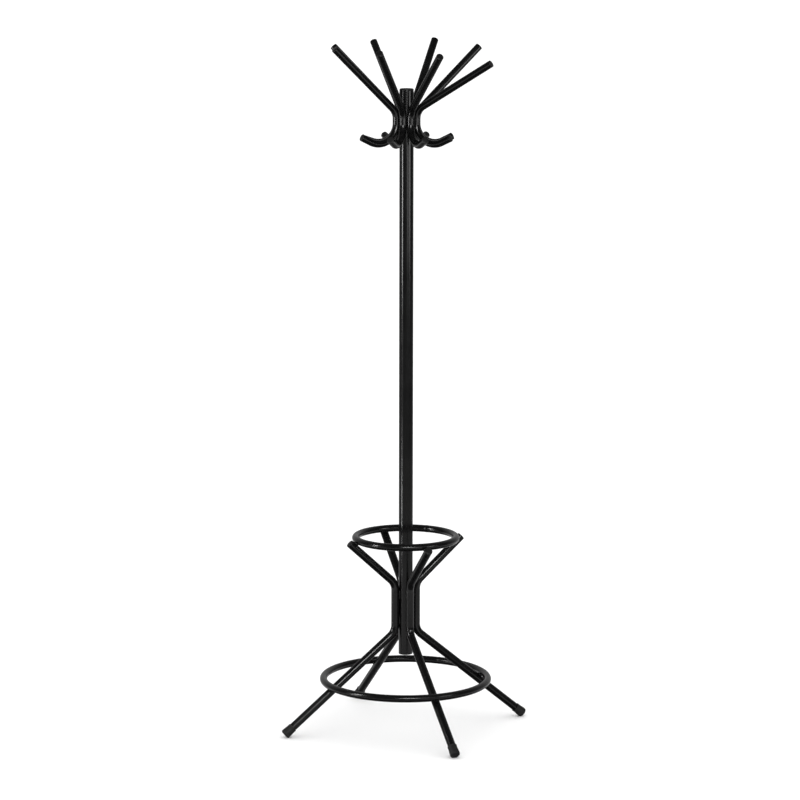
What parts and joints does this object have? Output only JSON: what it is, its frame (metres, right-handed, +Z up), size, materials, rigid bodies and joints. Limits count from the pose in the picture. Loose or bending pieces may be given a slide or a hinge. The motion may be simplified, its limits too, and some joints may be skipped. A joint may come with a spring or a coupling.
{
  "type": "standing coat rack",
  "caption": "Free-standing tubular steel coat rack: upright with angled pegs over curved hooks, a ring for umbrellas, and splayed legs braced by a base ring.",
  "frame": {"origin": "on the floor, under the axis of the upright tube", "axes": "+Z up the upright; +X over leg 1, and legs 2 to 4 follow about a quarter turn apart, towards +Y first"},
  "size_m": [0.6504, 0.6496, 1.7201],
  "materials": {
    "black_paint": "semi-gloss black powder coat",
    "black_plastic": "satin black moulded plastic",
    "black_rubber": "matt black rubber"
  },
  "bodies": {
    "root": {"centre_pole": "black_paint", "pole_top_cap": "black_plastic", "pole_bottom_plug": "black_plastic", "peg_hook_1": "black_paint", "peg_hook_2": "black_paint", "peg_hook_3": "black_paint", "peg_hook_4": "black_paint", "peg_hook_5": "black_paint", "peg_hook_6": "black_paint", "peg_hook_7": "black_paint", "peg_hook_8": "black_paint", "peg_tip_plugs": "black_plastic", "hook_tip_plugs": "black_plastic", "head_welds": "black_paint", "leg_1": "black_paint", "leg_2": "black_paint", "leg_3": "black_paint", "leg_4": "black_paint", "foot_cap_1": "black_rubber", "foot_cap_2": "black_rubber", "foot_cap_3": "black_rubber", "foot_cap_4": "black_rubber", "arm_tip_plugs": "black_plastic", "leg_welds": "black_paint", "base_ring": "black_paint", "base_ring_welds": "black_paint", "umbrella_ring": "black_paint", "umbrella_ring_welds": "black_paint"}
  },
  "joints": []
}
